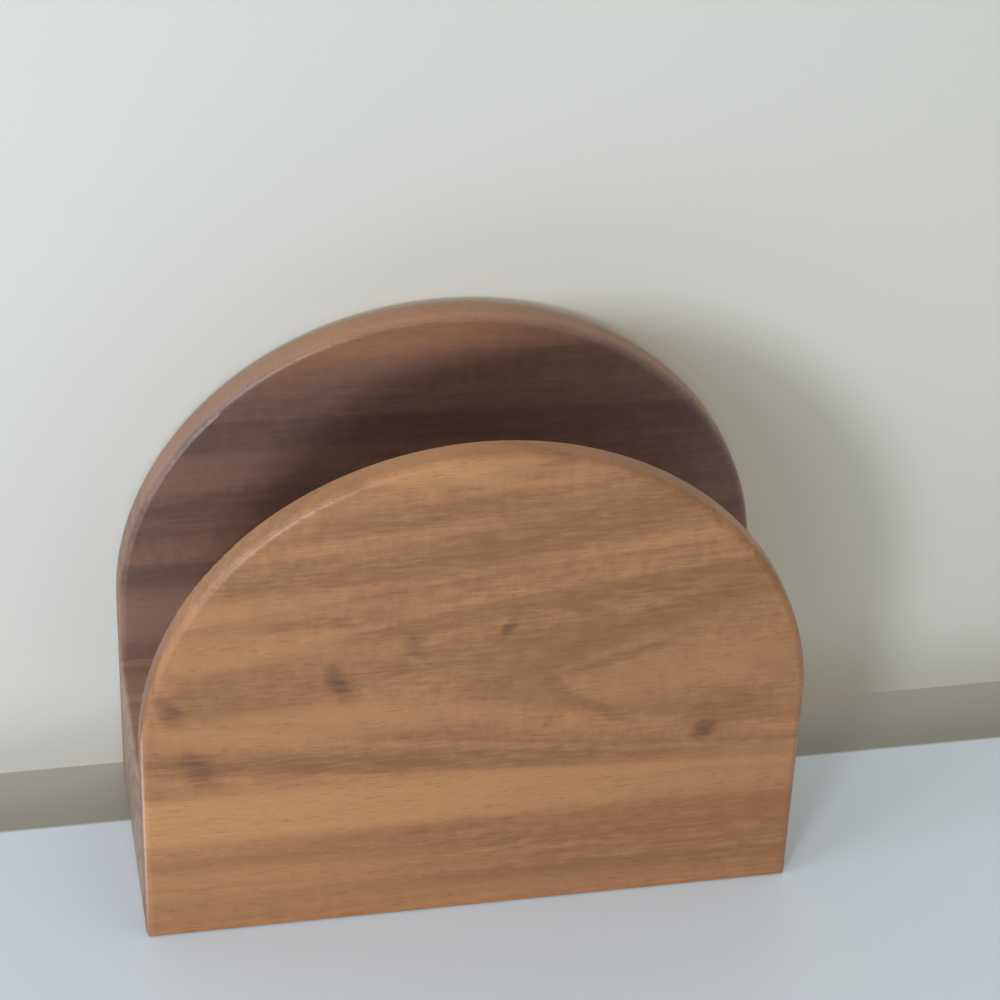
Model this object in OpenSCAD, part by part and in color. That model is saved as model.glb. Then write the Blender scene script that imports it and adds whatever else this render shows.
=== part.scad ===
/* [Arched panels] */
// Width of the panels and of the base block, end to end
panel_w = 150; // [130:1:180]
// Length of a panel's straight sides, from the table up to where the half-round top starts
side_h = 53; // [46:1:70]
// Thickness of each panel
panel_t = 7; // [6:0.5:12]
// Radius of the rounded edges along a panel's sides and top
rim_r = 1.8; // [0.6:0.1:2.6]

/* [Base block] */
// Depth of the block, which is the clear space between the two upright panels
base_d = 47; // [32:1:60]
// Height of the block, on which the napkins stand
base_h = 38; // [28:1:44]
// Radius of the eased edge across the top of each end
base_ease_r = 0.8; // [0.4:0.1:2]
// Bevel round the foot, where wood meets the table
foot_bevel = 0.5; // [0.2:0.1:1.2]

/* [Dowel pins] */
// Diameter of a pin
pin_d = 6; // [5:0.5:8]
// Length of a pin
pin_l = 16; // [13:1:17]
// Distance of the outer pins from the ends of the block
pin_inset = 25; // [15:1:40]
// Height above the table at which the pins cross their joint
pin_z = 19; // [15:1:22]
// Wood left between a pin's hole and a panel's outer face
pin_skin = 2.5; // [2:0.5:3]
// Bevel round each end of a pin
pin_bevel = 0.8; // [0.3:0.1:1.2]
// Radius of the glue flutes cut along a pin
flute_r = 0.45; // [0.2:0.05:0.5]
// Number of glue flutes round a pin
flutes = 12; // [8:1:16]

/* [Fits] */
// Gap round a pin in its hole, on the radius
pin_gap = 0.05; // [0.02:0.01:0.1]
// Room for glue past each end of a pin
pin_end_gap = 0.5; // [0.2:0.1:0.8]

/* [Hidden] */
$fn = 96;
// Overrun of every cut past the face that it starts from
cut_over = 1;
half_w = panel_w / 2;
// From the middle out to a panel's outer face
half_d = base_d / 2 + panel_t;
// Distance between neighbouring pins along a joint
pin_pitch = half_w - pin_inset;
// How far a pin reaches into its panel
pin_in_panel = panel_t - pin_skin - pin_end_gap;
// Oiled walnut on long grain and on the block, and bare beech
walnut = [0.64, 0.46, 0.32];
block_walnut = [0.52, 0.39, 0.30];
beech = [0.86, 0.73, 0.54];
// The joints, and each pin's place along its joint, counted in pitches from the middle
SIDES = ["front", "rear"];
PLACES = ["left", "middle", "right"];
PLACE_STEPS = [-1, 0, 1];

// Half of a panel's cross-section, from its middle out to the rounded rim
module half_section() {
    square([half_w - rim_r, panel_t]);
    translate([0, rim_r]) square([half_w, panel_t - 2 * rim_r]);
    for (y = [rim_r, panel_t - rim_r])
        translate([half_w - rim_r, y]) circle(rim_r);
}

// The whole cross-section, rim to rim
module full_section() {
    translate([rim_r - half_w, 0]) square([panel_w - 2 * rim_r, panel_t]);
    translate([-half_w, rim_r]) square([panel_w, panel_t - 2 * rim_r]);
    for (x = [rim_r - half_w, half_w - rim_r], y = [rim_r, panel_t - rim_r])
        translate([x, y]) circle(rim_r);
}

// A panel's board with its outer face at y = 0: straight sides below, a half turn of the same
// rim above
module arched_board() {
    linear_extrude(side_h) full_section();
    translate([0, panel_t, side_h])
        rotate([90, 0, 0])
            rotate_extrude(angle = 180) half_section();
}

// One three-sided bevel cut along X, at the foot of the outer face at y = 0
module bevel_cut(length) {
    translate([-length / 2 - cut_over, 0, 0])
        rotate([90, 0, 90])
            linear_extrude(length + 2 * cut_over)
                polygon([
                    [-cut_over, -cut_over],
                    [foot_bevel + cut_over, -cut_over],
                    [-cut_over, foot_bevel + cut_over]
                ]);
}

// The bevel all round the foot of the assembled holder
module foot_bevels() {
    for (turn = [0, 180])
        rotate(turn) {
            translate([0, -half_d, 0]) bevel_cut(panel_w);
            rotate(90) translate([0, -half_w, 0]) bevel_cut(2 * half_d);
        }
}

// Moves a pin or its hole, drawn along Z from the joint, into the front joint
module at_front_joint(step) {
    translate([step * pin_pitch, -base_d / 2, pin_z])
        rotate([-90, 0, 0])
            children();
}

// The holes of one joint, drilled through both pieces at once so that they line up
module joint_holes() {
    for (step = PLACE_STEPS)
        at_front_joint(step)
            translate([0, 0, -pin_in_panel - pin_end_gap])
                cylinder(r = pin_d / 2 + pin_gap, h = pin_l + 2 * pin_end_gap);
}

module panel() {
    difference() {
        translate([0, -half_d, 0]) arched_board();
        joint_holes();
        foot_bevels();
    }
}

module front_panel() {
    color(walnut) panel();
}

module rear_panel() {
    color(walnut) mirror([0, 1, 0]) panel();
}

// The block's end-to-end outline, with its two top corners eased
module block_outline() {
    translate([-half_w, 0]) square([panel_w, base_h - base_ease_r]);
    translate([base_ease_r - half_w, 0]) square([panel_w - 2 * base_ease_r, base_h]);
    for (x = [base_ease_r - half_w, half_w - base_ease_r])
        translate([x, base_h - base_ease_r]) circle(base_ease_r);
}

module base_block() {
    color(block_walnut)
        difference() {
            translate([0, base_d / 2, 0])
                rotate([90, 0, 0])
                    linear_extrude(base_d) block_outline();
            joint_holes();
            mirror([0, 1, 0]) joint_holes();
            foot_bevels();
        }
}

// A fluted pin along Z, with bevelled ends
module dowel_pin() {
    intersection() {
        linear_extrude(pin_l)
            difference() {
                circle(d = pin_d);
                for (k = [0 : flutes - 1])
                    rotate(k * 360 / flutes) translate([pin_d / 2, 0]) circle(flute_r);
            }
        rotate_extrude()
            polygon([
                [0, 0],
                [pin_d / 2 - pin_bevel, 0],
                [pin_d / 2, pin_bevel],
                [pin_d / 2, pin_l - pin_bevel],
                [pin_d / 2 - pin_bevel, pin_l],
                [0, pin_l]
            ]);
    }
}

module front_dowel(step) {
    color(beech) at_front_joint(step) translate([0, 0, -pin_in_panel]) dowel_pin();
}

module rear_dowel(step) {
    mirror([0, 1, 0]) front_dowel(step);
}

front_panel();
rear_panel();
base_block();
for (k = [0 : len(PLACES) - 1]) {
    front_dowel(PLACE_STEPS[k]);
    rear_dowel(PLACE_STEPS[k]);
}
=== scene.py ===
# Napkin holder: two arched walnut boards on a solid block, standing close to a pale wall
import math

import bpy
from mathutils import Matrix, Vector


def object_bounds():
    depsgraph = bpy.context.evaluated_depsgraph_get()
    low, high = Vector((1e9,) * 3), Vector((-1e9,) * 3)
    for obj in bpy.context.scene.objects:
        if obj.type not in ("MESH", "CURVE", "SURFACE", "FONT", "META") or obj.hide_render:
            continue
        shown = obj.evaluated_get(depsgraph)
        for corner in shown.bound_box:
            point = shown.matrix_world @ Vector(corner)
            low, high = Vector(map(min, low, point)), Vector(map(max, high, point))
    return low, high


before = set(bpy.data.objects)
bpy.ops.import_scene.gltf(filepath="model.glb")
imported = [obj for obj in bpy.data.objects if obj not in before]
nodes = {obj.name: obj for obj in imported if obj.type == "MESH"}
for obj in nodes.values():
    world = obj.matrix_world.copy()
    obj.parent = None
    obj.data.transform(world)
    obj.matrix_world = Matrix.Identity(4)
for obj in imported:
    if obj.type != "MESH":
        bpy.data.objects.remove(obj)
cadLow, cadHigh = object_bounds()
print("frame loaded:", len(nodes), "pieces")


# Camera

cameraLook = {
    "lensMm": 122.5,
    "sensorMm": 36,
    "place": (-0.11457, -0.59793, 0.54378),
    "turnDegrees": 11.696,  # towards +X
    "tiltDegrees": 36.398,  # down
    "rollDegrees": 2.366,
}


def placeCamera(look):
    turn = math.radians(look["turnDegrees"])
    tilt = math.radians(look["tiltDegrees"])
    roll = math.radians(look["rollDegrees"])
    ahead = Vector((math.sin(turn) * math.cos(tilt), math.cos(turn) * math.cos(tilt), -math.sin(tilt)))
    level = Vector((math.cos(turn), -math.sin(turn), 0))
    upright = level.cross(ahead)
    right = math.cos(roll) * level + math.sin(roll) * upright
    up = math.cos(roll) * upright - math.sin(roll) * level
    data = bpy.data.cameras.new("photoCamera")
    data.lens = look["lensMm"]
    data.sensor_width = look["sensorMm"]
    camera = bpy.data.objects.new("photoCamera", data)
    bpy.context.scene.collection.objects.link(camera)
    facing = Matrix((right, up, -ahead)).transposed().to_4x4()
    camera.matrix_world = Matrix.Translation(look["place"]) @ facing
    bpy.context.scene.camera = camera


placeCamera(cameraLook)
print("camera placed")


# Shader helpers

usualNoise = (0.3, 0.7)  # most of a noise lies between these


def paint(red, green, blue):  # an sRGB colour, 0 to 255, as Blender's linear values
    shares = [value / 255 for value in (red, green, blue)]
    return tuple(s / 12.92 if s < 0.04045 else ((s + 0.055) / 1.055) ** 2.4 for s in shares) + (1,)


def addNode(tree, kind, inputs=None, **settings):
    node = tree.nodes.new(kind)
    for name, value in settings.items():
        setattr(node, name, value)
    for socket, value in (inputs or {}).items():
        if isinstance(value, bpy.types.NodeSocket):
            tree.links.new(value, node.inputs[socket])
        else:
            node.inputs[socket].default_value = value
    return node


def calc(tree, operation, *values):
    return addNode(tree, "ShaderNodeMath", dict(enumerate(values)), operation=operation).outputs[0]


def ease(tree, value, start, end, low=0, high=1):  # soft step from low at start to high at end
    inputs = {"Value": value, "From Min": start, "From Max": end, "To Min": low, "To Max": high}
    return addNode(tree, "ShaderNodeMapRange", inputs, interpolation_type="SMOOTHSTEP").outputs[0]


def blend(tree, share, first, second):  # inputs 6 and 7 and output 2 are the Mix node's colours
    inputs = {0: share, 6: first, 7: second}
    return addNode(tree, "ShaderNodeMix", inputs, data_type="RGBA").outputs[2]


def swing(tree, value, amount):  # 0 to 1 becomes minus half of amount to plus half of it
    return calc(tree, "MULTIPLY", calc(tree, "SUBTRACT", value, 0.5), amount)


def stretched(tree, point, scale, shift=(0, 0, 0)):  # the point scaled per axis, then shifted
    scaled = addNode(tree, "ShaderNodeVectorMath", {0: point, 1: scale}, operation="MULTIPLY").outputs[0]
    return addNode(tree, "ShaderNodeVectorMath", {0: scaled, 1: shift}, operation="ADD").outputs[0]


def noise(tree, point, detail, roughness=0.5):
    inputs = {"Vector": point, "Scale": 1, "Detail": detail, "Roughness": roughness}
    return addNode(tree, "ShaderNodeTexNoise", inputs).outputs[0]


def noiseAlong(tree, value, scale, detail):
    inputs = {"W": value, "Scale": scale, "Detail": detail}
    return addNode(tree, "ShaderNodeTexNoise", inputs, noise_dimensions="1D").outputs[0]


def newGroup(name, inputs, outputs):  # a tuple makes a vector socket, a number a float socket
    group = bpy.data.node_groups.new(name, "ShaderNodeTree")
    for label, value in inputs.items():
        kind = "NodeSocketVector" if isinstance(value, tuple) else "NodeSocketFloat"
        group.interface.new_socket(name=label, in_out="INPUT", socket_type=kind).default_value = value
    for label in outputs:
        group.interface.new_socket(name=label, in_out="OUTPUT", socket_type="NodeSocketFloat")
    return group, group.nodes.new("NodeGroupInput").outputs, group.nodes.new("NodeGroupOutput").inputs


def placeGroup(tree, group, inputs):
    return addNode(tree, "ShaderNodeGroup", inputs, node_tree=group).outputs


# Wood groups, all in millimetres with the grain along X; a scale is in waves per mm along X, Y and Z

figureLook = {
    "broadScale": (0.009, 0.035, 0.035),  # slow bends of the rings
    "broadShare": 2,
    "closeScale": (0.035, 0.16, 0.16),  # and closer ones on them
    "closeShare": 0.7,
    "calmFade": 22,  # height over which level rings begin to drift
    "lateStart": (0.25, 0.9),  # how the dark late wood comes in within a ring
    "lateStop": (1, 0.93),
    "ringChange": 0.9,  # how much one ring's depth differs from the next
    "ringRange": (0.3, 0.65),
    "ringDepths": (0.2, 1),
    "bandChange": 0.13,  # how soon light and dark bands follow each other
    "bandRange": (0.28, 0.72),
    "fibreScale": (0.13, 1.1, 1.1),
    "fibreNoise": (5, 0.7),  # detail and roughness
    "poreScale": (0.3, 3.4, 3.4),
    "poreRange": (0.57, 0.72),  # only the highest spots are pores
    "curlScale": (0.42, 0.42, 0.2),  # the faint figure across the grain
    "curlNoise": (3, 0.6),
}


def makeWoodFigure(look):
    inputs = {
        "Point": (0, 0, 0),
        "Pith Y": 10,  # where the middle of the rings lies
        "Pith Z": 60,
        "Drift": 0,  # how far the rings climb for each mm along the grain
        "Calm Height": -1000,  # below this the rings run level
        "Ring Width": 4,
        "Wander": 3,
        "Seed": 0,
    }
    group, given, result = newGroup("woodFigure", inputs, ["Ring", "Band", "Fibre", "Pore", "Curl"])
    point = given["Point"]
    seed = given["Seed"]
    shift = addNode(group, "ShaderNodeCombineXYZ", {0: seed, 1: seed, 2: seed}).outputs[0]
    broad = noise(group, stretched(group, point, look["broadScale"], shift), 1)
    close = noise(group, stretched(group, point, look["closeScale"], shift), 2)
    broad = swing(group, broad, look["broadShare"])
    close = swing(group, close, look["closeShare"])
    wander = calc(group, "MULTIPLY", calc(group, "ADD", broad, close), given["Wander"])
    axes = addNode(group, "ShaderNodeSeparateXYZ", {0: point}).outputs
    across = calc(group, "POWER", calc(group, "SUBTRACT", axes[1], given["Pith Y"]), 2)
    upward = calc(group, "POWER", calc(group, "SUBTRACT", axes[2], given["Pith Z"]), 2)
    radius = calc(group, "SQRT", calc(group, "ADD", across, upward))
    calm = ease(group, calc(group, "SUBTRACT", axes[2], given["Calm Height"]), 0, look["calmFade"])
    drift = calc(group, "MULTIPLY", calc(group, "MULTIPLY", given["Drift"], axes[0]), calm)
    radius = calc(group, "ADD", calc(group, "ADD", radius, drift), wander)
    turn = calc(group, "DIVIDE", radius, given["Ring Width"])
    share = calc(group, "FRACT", turn)
    late = ease(group, share, *look["lateStart"])
    late = calc(group, "MULTIPLY", late, ease(group, share, *look["lateStop"]))
    byRing = noiseAlong(group, turn, look["ringChange"], 0)
    ring = calc(group, "MULTIPLY", late, ease(group, byRing, *look["ringRange"], *look["ringDepths"]))
    slow = calc(group, "ADD", calc(group, "MULTIPLY", radius, look["bandChange"]), seed)
    band = noiseAlong(group, slow, 1, 3)
    fibre = noise(group, stretched(group, point, look["fibreScale"], shift), *look["fibreNoise"])
    pore = noise(group, stretched(group, point, look["poreScale"], shift), 2)
    curl = noise(group, stretched(group, point, look["curlScale"], shift), *look["curlNoise"])
    for label, value in (
        ("Ring", ring),
        ("Band", ease(group, band, *look["bandRange"])),
        ("Fibre", ease(group, fibre, *usualNoise)),
        ("Pore", ease(group, pore, *look["poreRange"])),
        ("Curl", ease(group, curl, *usualNoise)),
    ):
        group.links.new(value, result[label])
    return group


markLook = {
    "square": 2,  # 2 is an ellipse, 8 nearly a bar
    "soft": 0.6,
    "ragged": 0.6,
    "raggedScale": (0.08, 0.5, 0.5),
}


def makeGrainMark(look):  # one streak, band or knot on the X-Z face, turned in degrees
    inputs = {
        "Point": (0, 0, 0),
        "Along": 0,
        "Height": 0,
        "Half Length": 20,
        "Half Width": 3,
        "Turn": 0,
        "Square": look["square"],
        "Soft": look["soft"],
        "Ragged": look["ragged"],
    }
    group, given, result = newGroup("grainMark", inputs, ["Mask"])
    axes = addNode(group, "ShaderNodeSeparateXYZ", {0: given["Point"]}).outputs
    right = calc(group, "SUBTRACT", axes[0], given["Along"])
    up = calc(group, "SUBTRACT", axes[2], given["Height"])
    turn = calc(group, "RADIANS", given["Turn"])
    cosine = calc(group, "COSINE", turn)
    sine = calc(group, "SINE", turn)
    along = calc(group, "MULTIPLY", right, cosine)
    along = calc(group, "ADD", along, calc(group, "MULTIPLY", up, sine))
    across = calc(group, "MULTIPLY", up, cosine)
    across = calc(group, "SUBTRACT", across, calc(group, "MULTIPLY", right, sine))
    powers = []
    for distance, half in ((along, "Half Length"), (across, "Half Width")):
        share = calc(group, "ABSOLUTE", calc(group, "DIVIDE", distance, given[half]))
        powers.append(calc(group, "POWER", share, given["Square"]))
    far = calc(group, "POWER", calc(group, "ADD", *powers), calc(group, "DIVIDE", 1, given["Square"]))
    torn = noise(group, stretched(group, given["Point"], look["raggedScale"]), 3)
    far = calc(group, "ADD", far, swing(group, torn, given["Ragged"]))
    outer = calc(group, "ADD", 1, given["Soft"])
    inner = calc(group, "SUBTRACT", 1, given["Soft"])
    group.links.new(ease(group, far, outer, inner), result["Mask"])
    return group


oilLook = {
    "handledScale": (0.03, 0.03, 0.03),  # patches that hands have polished
    "roughness": (0.38, 0.45),
    "poreRoughness": 0.16,
    "endRoughness": 0.06,
    "fibreHeight": 0.22,
    "poreHeight": -0.8,
    "ringHeight": -0.15,
    "bumpStrength": 0.18,
    "bumpDistance": 0.00012,  # in metres
    "coat": 0.12,
    "coatRoughness": 0.36,
}


def makeOiledSurface(look):
    inputs = {"Point": (0, 0, 0), "Ring": 0, "Fibre": 0, "Pore": 0, "Across": 0}
    group, given, result = newGroup("oiledSurface", inputs, ["Roughness", "Height"])
    handled = noise(group, stretched(group, given["Point"], look["handledScale"]), 2)
    rough = ease(group, handled, *usualNoise, *look["roughness"])
    for label, amount in (("Pore", "poreRoughness"), ("Across", "endRoughness")):
        rough = calc(group, "ADD", rough, calc(group, "MULTIPLY", given[label], look[amount]))
    height = calc(group, "MULTIPLY", given["Fibre"], look["fibreHeight"])
    for label, amount in (("Pore", "poreHeight"), ("Ring", "ringHeight")):
        height = calc(group, "ADD", height, calc(group, "MULTIPLY", given[label], look[amount]))
    group.links.new(rough, result["Roughness"])
    group.links.new(height, result["Height"])
    return group


woodFigure = makeWoodFigure(figureLook)
grainMark = makeGrainMark(markLook)
oiledSurface = makeOiledSurface(oilLook)
print("wood groups made")


# Walnut, dressed from one dictionary for each piece

toMillimetres = (1000, 1000, 1000)
walnutLook = {
    "endFacing": (0.82, 0.99),  # how squarely a face looks along X when it shows end grain
    "rimFacing": (0.95, 0.2),  # how far a face turns away from Y where rims are paler, for wear and as painted light on the rims
    "toneRange": (0.2, 0.8),
    "markGrain": -0.8,  # how far the fibres break up a mark
    "endShare": 0.75,
    "endRingShare": 0.55,
    "poreShare": 0.4,
}


def newMaterial(name):
    material = bpy.data.materials.new(name)
    material.use_nodes = True
    material.node_tree.nodes.clear()
    return material, material.node_tree


def dressWalnut(name, wood, look, oil):
    material, tree = newMaterial(name)
    place = addNode(tree, "ShaderNodeTexCoord")
    point = stretched(tree, place.outputs["Object"], toMillimetres)
    figure = placeGroup(tree, woodFigure, {"Point": point, **wood["figure"]})
    facing = addNode(tree, "ShaderNodeSeparateXYZ", {0: place.outputs["Normal"]}).outputs
    across = ease(tree, calc(tree, "ABSOLUTE", facing[0]), *look["endFacing"])
    fine = swing(tree, figure["Fibre"], wood["fibreDepth"])
    curl = swing(tree, figure["Curl"], wood["curlDepth"])
    tone = ease(tree, figure["Band"], 0, 1, *look["toneRange"])
    tone = calc(tree, "ADD", tone, calc(tree, "ADD", fine, curl))
    colour = blend(tree, tone, wood["dark"], wood["light"])
    colour = blend(tree, calc(tree, "MULTIPLY", figure["Ring"], wood["ringDepth"]), colour, wood["late"])
    for mark in wood["marks"]:
        mask = placeGroup(tree, grainMark, {
            "Point": point,
            "Along": mark["x"],
            "Height": mark["z"],
            "Half Length": mark["long"],
            "Half Width": mark["wide"],
            "Turn": mark.get("turn", 0),
            "Square": mark.get("square", markLook["square"]),
            "Soft": mark.get("soft", markLook["soft"]),
            "Ragged": mark.get("ragged", markLook["ragged"]),
        })["Mask"]
        depth = calc(tree, "ADD", mark["depth"], calc(tree, "MULTIPLY", fine, look["markGrain"]))
        colour = blend(tree, calc(tree, "MULTIPLY", mask, depth), colour, mark["colour"])
    # rims paler: partly wear, partly painted light on the rims
    if "wornAndLit" in wood:
        rim = ease(tree, calc(tree, "ABSOLUTE", facing[1]), *look["rimFacing"])
        colour = blend(tree, calc(tree, "MULTIPLY", rim, wood["rimWearAndLight"]), colour, wood["wornAndLit"])
    colour = blend(tree, calc(tree, "MULTIPLY", across, look["endShare"]), colour, wood["endGrain"])
    endRing = calc(tree, "MULTIPLY", calc(tree, "MULTIPLY", across, figure["Ring"]), look["endRingShare"])
    colour = blend(tree, endRing, colour, wood["late"])
    colour = blend(tree, calc(tree, "MULTIPLY", figure["Pore"], look["poreShare"]), colour, wood["pore"])
    surface = placeGroup(tree, oiledSurface, {
        "Point": point,
        "Ring": figure["Ring"],
        "Fibre": figure["Fibre"],
        "Pore": figure["Pore"],
        "Across": across,
    })
    bump = addNode(tree, "ShaderNodeBump", {
        "Height": surface["Height"],
        "Strength": oil["bumpStrength"],
        "Distance": oil["bumpDistance"],
    })
    shader = addNode(tree, "ShaderNodeBsdfPrincipled", {
        "Base Color": colour,
        "Roughness": surface["Roughness"],
        "Normal": bump.outputs[0],
        "Coat Weight": oil["coat"],
        "Coat Roughness": oil["coatRoughness"],
    })
    addNode(tree, "ShaderNodeOutputMaterial", {"Surface": shader.outputs[0]})
    return material


# Front panel

straw = paint(187, 134, 84)
pale = paint(180, 127, 80)
dusk = paint(131, 88, 53)
knot = paint(98, 64, 44)
russet = paint(146, 95, 57)
ember = paint(151, 97, 55)
amber = paint(170, 119, 74)
# painted highlight colour for the front panel's left edge
paintedEdgeHighlight = paint(222, 196, 184)

frontPanelWood = {
    "figure": {
        "Pith Y": 9.5,
        "Pith Z": 69,
        "Drift": -0.0625,
        "Calm Height": 27,
        "Ring Width": 4.05,
        "Wander": 1.2,
        "Seed": 3.2,
    },
    "dark": paint(147, 101, 62),
    "light": paint(174, 121, 76),
    "late": paint(136, 91, 55),
    "pore": paint(98, 64, 40),
    # end grain, darker partly as painted shade on the front panel's end
    "endGrain": paint(118, 84, 68),
    # rim tone: wear and painted light
    "wornAndLit": paint(186, 138, 98),
    "rimWearAndLight": 0.2,
    "ringDepth": 0.4,
    "fibreDepth": 0.75,
    "curlDepth": 0.5,
    "marks": [
        # x, z and sizes in millimetres on the board's face, turned anticlockwise in degrees
        {"x": 15, "z": 13, "long": 140, "wide": 14.6, "square": 8, "soft": 0.14, "ragged": 0.2,
         "depth": 0.35, "colour": russet},  # the darker foot
        {"x": -95, "z": 34, "long": 115, "wide": 6.8, "square": 3, "soft": 0.3, "ragged": 0.3, "depth": 0.9,
         "colour": straw},  # the straw band
        {"x": 20, "z": 34.5, "long": 62, "wide": 6.2, "square": 4, "soft": 0.35, "ragged": 0.4,
         "depth": 0.55, "colour": pale},
        {"x": 58, "z": 22, "long": 30, "wide": 5.5, "depth": 0.55, "colour": ember},
        {"x": 10, "z": 19, "long": 70, "wide": 2, "depth": 0.3, "colour": dusk},
        {"x": 30, "z": 8, "long": 45, "wide": 2.4, "depth": 0.5, "colour": dusk},
        {"x": -58, "z": 14, "long": 50, "wide": 6, "depth": 0.5, "colour": pale},
        {"x": -70, "z": 25, "long": 34, "wide": 2.6, "soft": 0.8, "depth": 0.5, "colour": pale},
        {"x": -20, "z": 5, "long": 70, "wide": 3.5, "soft": 0.8, "depth": 0.3, "colour": pale},
        {"x": -18, "z": 46.5, "long": 70, "wide": 3, "turn": -4.5, "square": 3, "depth": 0.6,
         "colour": dusk},
        {"x": -12, "z": 74, "long": 40, "wide": 4, "turn": 11, "depth": 0.5, "colour": dusk},
        {"x": 41, "z": 81.5, "long": 31, "wide": 3, "turn": 22, "square": 3, "soft": 0.5, "depth": 0.55,
         "colour": dusk},
        {"x": 36, "z": 89, "long": 36, "wide": 3.8, "turn": 7, "depth": 0.65, "colour": dusk},
        {"x": 46, "z": 66, "long": 27, "wide": 7, "turn": 8, "soft": 0.7, "ragged": 1.4, "depth": 0.45,
         "colour": amber},
        {"x": 32, "z": 71, "long": 17, "wide": 1.4, "turn": 17, "soft": 0.7, "ragged": 0.9, "depth": 0.55,
         "colour": dusk},
        {"x": 33, "z": 53.5, "long": 4.5, "wide": 2, "turn": -35, "soft": 0.8, "ragged": 1, "depth": 0.45,
         "colour": dusk},
        {"x": 27, "z": 62, "long": 9, "wide": 4, "turn": -20, "ragged": 1.2, "depth": 0.5, "colour": amber},
        {"x": 22, "z": 108, "long": 48, "wide": 6, "turn": 12, "depth": 0.6, "colour": dusk},
        {"x": -34, "z": 100, "long": 30, "wide": 3.2, "turn": 3, "depth": 0.35, "colour": dusk},
        {"x": -8, "z": 114, "long": 22, "wide": 3.5, "turn": 6, "depth": 0.4, "colour": dusk},
        {"x": -54, "z": 91, "long": 24, "wide": 4, "depth": 0.25, "colour": pale},
        {"x": -64, "z": 81, "long": 38, "wide": 4.6, "depth": 0.5, "colour": pale},
        {"x": -42, "z": 59, "long": 34, "wide": 4.6, "depth": 0.65, "colour": pale},
        {"x": -10, "z": 125, "long": 18, "wide": 3.6, "depth": 0.7, "colour": straw},
        {"x": -31.3, "z": 70, "long": 4.4, "wide": 2, "turn": -72, "soft": 0.8, "ragged": 1, "depth": 0.7,
         "colour": knot},
        {"x": -68, "z": 66, "long": 3.8, "wide": 2.2, "turn": -66, "soft": 0.8, "ragged": 1, "depth": 0.55,
         "colour": knot},
        {"x": -62, "z": 48.5, "long": 5, "wide": 3, "turn": -56, "soft": 0.8, "ragged": 1, "depth": 0.7,
         "colour": knot},
        {"x": -40, "z": 47.5, "long": 32, "wide": 2.2, "turn": -2, "depth": 0.35, "colour": dusk},
        {"x": -36, "z": 87.5, "long": 16, "wide": 1.6, "depth": 0.4, "colour": dusk},
        {"x": -18, "z": 83, "long": 12, "wide": 1.8, "turn": 4, "depth": 0.4, "colour": dusk},
        {"x": 51.8, "z": 47.8, "long": 3, "wide": 2.4, "turn": 40, "ragged": 1, "depth": 0.8,
         "colour": knot},
        {"x": 58, "z": 54, "long": 13, "wide": 4.6, "turn": 20, "depth": 0.5, "colour": dusk},
        {"x": 6.3, "z": 82, "long": 2.8, "wide": 1.3, "turn": 62, "ragged": 1, "depth": 0.6,
         "colour": knot},
        {"x": -14.4, "z": 79, "long": 3.2, "wide": 2.2, "turn": -60, "ragged": 1, "depth": 0.4,
         "colour": knot},
        {"x": 17.5, "z": 63.5, "long": 6, "wide": 1.7, "turn": -62, "ragged": 0.8, "depth": 0.5,
         "colour": dusk},
        {"x": 26, "z": 57.2, "long": 7.5, "wide": 1.6, "turn": -32, "ragged": 0.8, "depth": 0.55,
         "colour": dusk},
        {"x": -75, "z": 42, "long": 30, "wide": 0.5, "turn": 90, "square": 4, "ragged": 0, "depth": 0.6,
         "colour": paintedEdgeHighlight},  # painted highlight: the pale reflection line along the left edge
    ],
}


# Rear panel

umber = paint(98, 74, 65)
rosewood = paint(142, 108, 92)
# painted light colour for the top of the rear panel
paintedTopLight = paint(172, 122, 84)
# painted shade colour for the slot between the panels
paintedSlotShade = paint(80, 65, 62)

rearPanelWood = {
    "figure": {"Pith Y": 78, "Pith Z": -60, "Drift": 0.03, "Ring Width": 5.2, "Wander": 2.2, "Seed": 11.7},
    # the walnut's own tone, set darker and cooler than the front's as painted shade and sheen; the end
    # grain is lightened as a painted sheen
    "dark": paint(111, 83, 69),
    "light": paint(138, 102, 84),
    "late": paint(100, 75, 62),
    "pore": paint(92, 66, 52),
    "endGrain": paint(136, 108, 90),
    # rim tone: wear and painted light where the rear's rim faces up
    "wornAndLit": paint(184, 143, 116),
    "rimWearAndLight": 0.55,
    "ringDepth": 0.15,
    "fibreDepth": 0.4,
    "curlDepth": 0.45,
    "marks": [
        {"x": -62, "z": 62, "long": 34, "wide": 3.2, "turn": 3, "depth": 0.65, "colour": umber},
        {"x": -48, "z": 80, "long": 30, "wide": 5, "turn": 7, "depth": 0.5, "colour": umber},
        {"x": -64, "z": 50, "long": 30, "wide": 8, "depth": 0.8, "colour": rosewood},
        {"x": -58, "z": 90, "long": 30, "wide": 5, "turn": 6, "depth": 0.5, "colour": rosewood},
        {"x": -20, "z": 117, "long": 44, "wide": 5, "turn": 6, "depth": 0.5, "colour": rosewood},
        # painted light: the rear panel's top, lit above the front panel's shadow
        {"x": -16, "z": 127, "long": 40, "wide": 9, "turn": 5, "soft": 0.9, "depth": 0.65,
         "colour": paintedTopLight},
        # painted shade: darkens the rear's inner face where the front panel's shadow falls
        {"x": 18, "z": 97, "long": 62, "wide": 13, "turn": -4, "soft": 0.9, "depth": 0.62,
         "colour": paintedSlotShade},
    ],
}


# Base block

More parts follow.
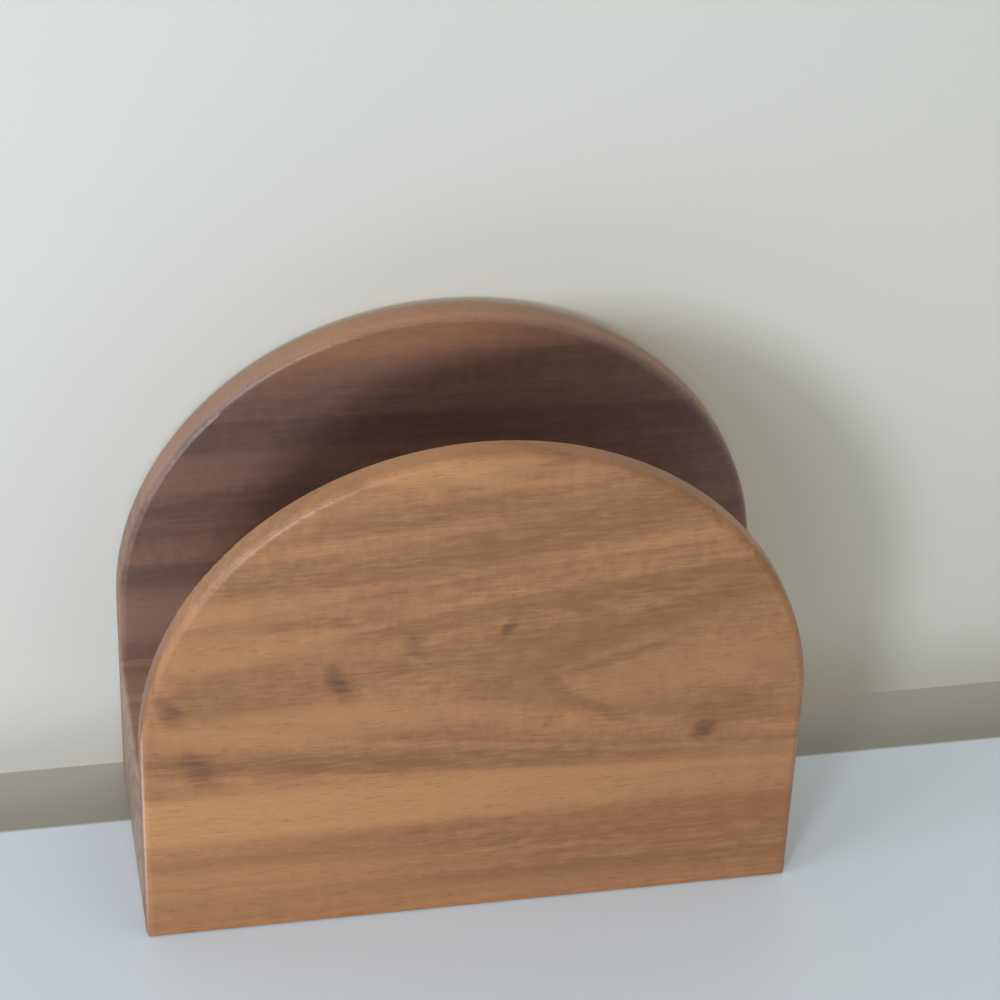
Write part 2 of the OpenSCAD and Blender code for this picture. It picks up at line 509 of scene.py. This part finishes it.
baseBlockWood = {
    "figure": {"Pith Y": -44, "Pith Z": -14, "Drift": 0.02, "Ring Width": 5.5, "Wander": 2, "Seed": 23.4},
    # paler than the panels' walnut, partly as painted light on the block; the end grain is lightened and
    # greyed as a painted sheen
    "dark": paint(152, 117, 98),
    "light": paint(172, 136, 115),
    "late": paint(122, 90, 73),
    "pore": paint(94, 68, 54),
    "endGrain": paint(152, 130, 113),
    "ringDepth": 0.4,
    "fibreDepth": 0.35,
    "curlDepth": 0.1,
    "marks": [],
}


# Dowels

beechPins = {  # their grain runs along Y
    "light": paint(222, 190, 146),
    "dark": paint(203, 168, 124),
    "toneScale": (1.3, 0.12, 1.3),
    "fleck": paint(170, 128, 88),
    "fleckScale": (4, 0.9, 4),
    "fleckRange": (0.64, 0.72),
    "fleckShare": 0.6,
    "roughness": 0.72,
    "bumpStrength": 0.3,
    "bumpDistance": 0.0001,  # in metres
}


def dressBeech(name, wood):
    material, tree = newMaterial(name)
    place = addNode(tree, "ShaderNodeTexCoord")
    point = stretched(tree, place.outputs["Object"], toMillimetres)
    tone = ease(tree, noise(tree, stretched(tree, point, wood["toneScale"]), 3), *usualNoise)
    fleck = ease(tree, noise(tree, stretched(tree, point, wood["fleckScale"]), 1), *wood["fleckRange"])
    colour = blend(tree, tone, wood["dark"], wood["light"])
    colour = blend(tree, calc(tree, "MULTIPLY", fleck, wood["fleckShare"]), colour, wood["fleck"])
    bump = addNode(tree, "ShaderNodeBump", {
        "Height": tone,
        "Strength": wood["bumpStrength"],
        "Distance": wood["bumpDistance"],
    })
    shader = addNode(tree, "ShaderNodeBsdfPrincipled", {
        "Base Color": colour,
        "Roughness": wood["roughness"],
        "Normal": bump.outputs[0],
    })
    addNode(tree, "ShaderNodeOutputMaterial", {"Surface": shader.outputs[0]})
    return material


def dressPiece(name, material):
    data = nodes[name].data
    data.materials.clear()
    data.materials.append(material)


for name, finish, wood in (
    ("front_panel", "frontPanelWalnut", frontPanelWood),
    ("rear_panel", "rearPanelWalnut", rearPanelWood),
    ("base_block", "baseBlockWalnut", baseBlockWood),
):
    dressPiece(name, dressWalnut(finish, wood, walnutLook, oilLook))
beech = dressBeech("bareBeech", beechPins)
for name in nodes:
    if "dowel" in name:
        dressPiece(name, beech)
print("wood finished")


# Floor and wall

roomLook = {
    "floorSize": 6.0,
    "floorGap": 0.0001,  # under the holder
    "wallWidth": 4.0,
    "wallHeight": 2.5,
    "wallGap": 0.001,  # between the rear panel and the wall
    "edgeY": 0.0103,  # where the pale floor ends and the strip of painted shade before the wall begins
    "edgeBlur": 0.0006,
    "rearFade": 0.004,  # behind the wall the floor turns pale again
    "floorPaint": paint(221, 233, 241),
    "stripShade": (paint(160, 159, 148), paint(180, 178, 167)),  # painted shade, at the pale floor's end and at the wall
    "wallPaint": paint(233, 234, 231),
    # painted shade: the wall darker towards its foot, where it meets the floor
    "wallFootShade": paint(213, 213, 212),
    "wallGlow": paint(150, 142, 84),
    "glowShare": 0.22,  # how much of the wall is seen by its own warm tone, and not by the light on it
    "footHeight": 0.028,
}


def makeSheet(name, corners, material):
    data = bpy.data.meshes.new(name)
    data.from_pydata(corners, [], [(0, 1, 2, 3)])
    data.materials.append(material)
    sheet = bpy.data.objects.new(name, data)
    bpy.context.scene.collection.objects.link(sheet)
    return sheet


def backdropShare(tree):  # 1 for what the camera sees, also in a glossy film or through glass
    ray = addNode(tree, "ShaderNodeLightPath").outputs
    mirrored = calc(tree, "MAXIMUM", ray["Is Glossy Ray"], ray["Is Transmission Ray"])
    return calc(tree, "MAXIMUM", ray["Is Camera Ray"], mirrored)


def dressRoom(name, axis, firstPaint, changes, glow=None):  # pale paint that can't be seen from behind
    material, tree = newMaterial(name)
    place = addNode(tree, "ShaderNodeTexCoord").outputs["Object"]
    along = addNode(tree, "ShaderNodeSeparateXYZ", {0: place}).outputs[axis]
    colour = firstPaint
    for start, end, nextPaint in changes:
        colour = blend(tree, ease(tree, along, start, end), colour, nextPaint)
    front = addNode(tree, "ShaderNodeBsdfDiffuse", {"Color": colour})
    if glow:
        own = addNode(tree, "ShaderNodeEmission", {"Color": glow[0], "Strength": 1})
        share = calc(tree, "MULTIPLY", backdropShare(tree), glow[1])
        front = addNode(tree, "ShaderNodeMixShader", {0: share, 1: front.outputs[0], 2: own.outputs[0]})
    back = addNode(tree, "ShaderNodeBsdfTransparent")
    facing = addNode(tree, "ShaderNodeNewGeometry").outputs["Backfacing"]
    shown = addNode(tree, "ShaderNodeMixShader", {0: facing, 1: front.outputs[0], 2: back.outputs[0]})
    addNode(tree, "ShaderNodeOutputMaterial", {"Surface": shown.outputs[0]})
    return material


def makeRoom(look):
    half = look["floorSize"] / 2
    floorZ = cadLow.z - look["floorGap"]
    corners = [(-half, -half, floorZ), (half, -half, floorZ), (half, half, floorZ), (-half, half, floorZ)]
    edge = look["edgeY"]
    blur = look["edgeBlur"]
    wallY = cadHigh.y + look["wallGap"]
    # the floor carries a strip of painted shade from its edge to the wall
    floorFinish = dressRoom("floorPaint", "Y", look["floorPaint"], [
        (edge - blur, edge + blur, look["stripShade"][0]),
        (edge, wallY, look["stripShade"][1]),
        (wallY, wallY + look["rearFade"], look["floorPaint"]),
    ])
    makeSheet("floor", corners, floorFinish)
    side = look["wallWidth"] / 2
    top = floorZ + look["wallHeight"]
    corners = [(-side, wallY, floorZ), (side, wallY, floorZ), (side, wallY, top), (-side, wallY, top)]
    toWallPaint = (floorZ, look["footHeight"], look["wallPaint"])
    glow = (look["wallGlow"], look["glowShare"])
    wallFinish = dressRoom("wallPaint", "Z", look["wallFootShade"], [toWallPaint], glow)
    wall = makeSheet("wall", corners, wallFinish)
    wall.visible_diffuse = False  # it takes shadows but lights and shades nothing
    wall.visible_shadow = False


makeRoom(roomLook)
print("floor and wall made")


# Light

keyLook = {
    "place": (-0.3, -0.565, 0.19),
    "width": 0.14,
    "watts": 1.9,
    "colour": (0.8, 0.86, 1.0),
    "mirrored": True,
}
sideLook = {  # a broad soft light from the left
    "place": (-2.0, -0.75, 0.8),
    "width": 1.2,
    "watts": 14,
    "colour": (0.9, 0.93, 1.0),
    "mirrored": True,
}
backLook = {  # from behind the wall, for the holder's back
    "place": (0.35, 1.2, 0.3),
    "width": 0.8,
    "watts": 1.4,
    "colour": (1.0, 0.98, 0.95),
    "mirrored": False,  # the oil film shows no light from behind the wall
}
skyLook = {
    "colour": (1.0, 0.965, 0.9, 1),
    "strength": 0.54,
    "backdrop": (0.82, 0.83, 0.84, 1),
}


def aimLamp(name, look, target):
    data = bpy.data.lights.new(name, "AREA")
    data.shape = "DISK"
    data.size = look["width"]
    data.energy = look["watts"]
    data.color = look["colour"]
    lamp = bpy.data.objects.new(name, data)
    lamp.location = look["place"]
    lamp.rotation_euler = (target - Vector(look["place"])).to_track_quat("-Z", "Y").to_euler()
    lamp.visible_glossy = look["mirrored"]
    bpy.context.scene.collection.objects.link(lamp)


def lightSky(look):  # its own light on the holder, and a pale backdrop for what the camera sees
    world = bpy.data.worlds.new("paleRoom")
    bpy.context.scene.world = world
    world.use_nodes = True
    tree = world.node_tree
    tree.nodes.clear()
    fill = addNode(tree, "ShaderNodeBackground", {"Color": look["colour"], "Strength": look["strength"]})
    seen = addNode(tree, "ShaderNodeBackground", {"Color": look["backdrop"], "Strength": 1})
    inputs = {0: backdropShare(tree), 1: fill.outputs[0], 2: seen.outputs[0]}
    both = addNode(tree, "ShaderNodeMixShader", inputs)
    addNode(tree, "ShaderNodeOutputWorld", {"Surface": both.outputs[0]})


for name, look in (("windowKey", keyLook), ("sideFill", sideLook), ("backFill", backLook)):
    aimLamp(name, look, (cadLow + cadHigh) / 2)
lightSky(skyLook)
bpy.context.scene.view_settings.view_transform = "Standard"
print("lit")
